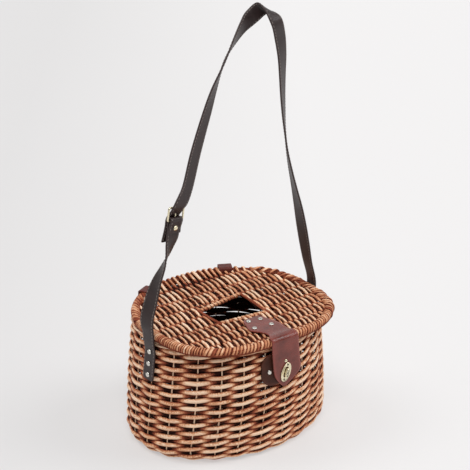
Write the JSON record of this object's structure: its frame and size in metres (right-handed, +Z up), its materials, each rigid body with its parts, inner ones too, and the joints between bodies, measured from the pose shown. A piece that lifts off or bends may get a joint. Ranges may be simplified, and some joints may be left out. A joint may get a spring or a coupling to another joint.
{
  "type": "mushroom basket",
  "caption": "Oval woven willow basket with a hinged lid that has a four-sided opening, a leather latch with a turn lock, and a buckled leather shoulder strap.",
  "frame": {"origin": "middle of the flat underside, on the surface that the basket stands on", "axes": "+Z up; +X to the right along the basket's length; -Y to the front, where the latch is"},
  "size_m": [0.3296, 0.2853, 0.659],
  "materials": {
    "willow": "varnished willow rods, cream to red-brown",
    "cane": "varnished cane wrap, red-brown",
    "strap_leather": "dark brown strap leather, satin",
    "latch_leather": "burgundy-brown leather, satin",
    "patch_leather": "brown-black leather, satin",
    "brass": "pale polished brass",
    "nickel": "polished nickel"
  },
  "bodies": {
    "basket": {"body_wall": "willow", "base": "willow", "rim": "willow", "lid_border": "cane", "lid_panel": "willow", "hinge_left": "latch_leather", "hinge_right": "latch_leather", "latch_flap": "latch_leather", "latch_patch": "patch_leather", "lock_base": "brass", "lock_plate": "brass", "strap_short": "strap_leather", "strap_long": "strap_leather", "buckle_frame": "brass", "buckle_prong": "brass", "strap_rivet_left_1": "nickel", "strap_rivet_left_2": "nickel", "strap_rivet_left_3": "nickel", "strap_rivet_right_1": "nickel", "strap_rivet_right_2": "nickel", "strap_rivet_right_3": "nickel", "patch_rivet_left": "nickel", "patch_rivet_right": "nickel", "lid_rivet_1": "nickel", "lid_rivet_2": "nickel", "lid_rivet_3": "nickel", "lid_rivet_4": "nickel", "fold_rivet": "brass", "flap_stud": "brass"},
    "lock": {"lock_knob": "brass"}
  },
  "joints": [
    {"name": "lock_turn", "type": "hinge", "parent": "basket", "child": "lock", "pos_m": [0.0016, -0.144, 0.145], "axis": [0, -1, 0], "range_deg": [0, 90]}
  ]
}
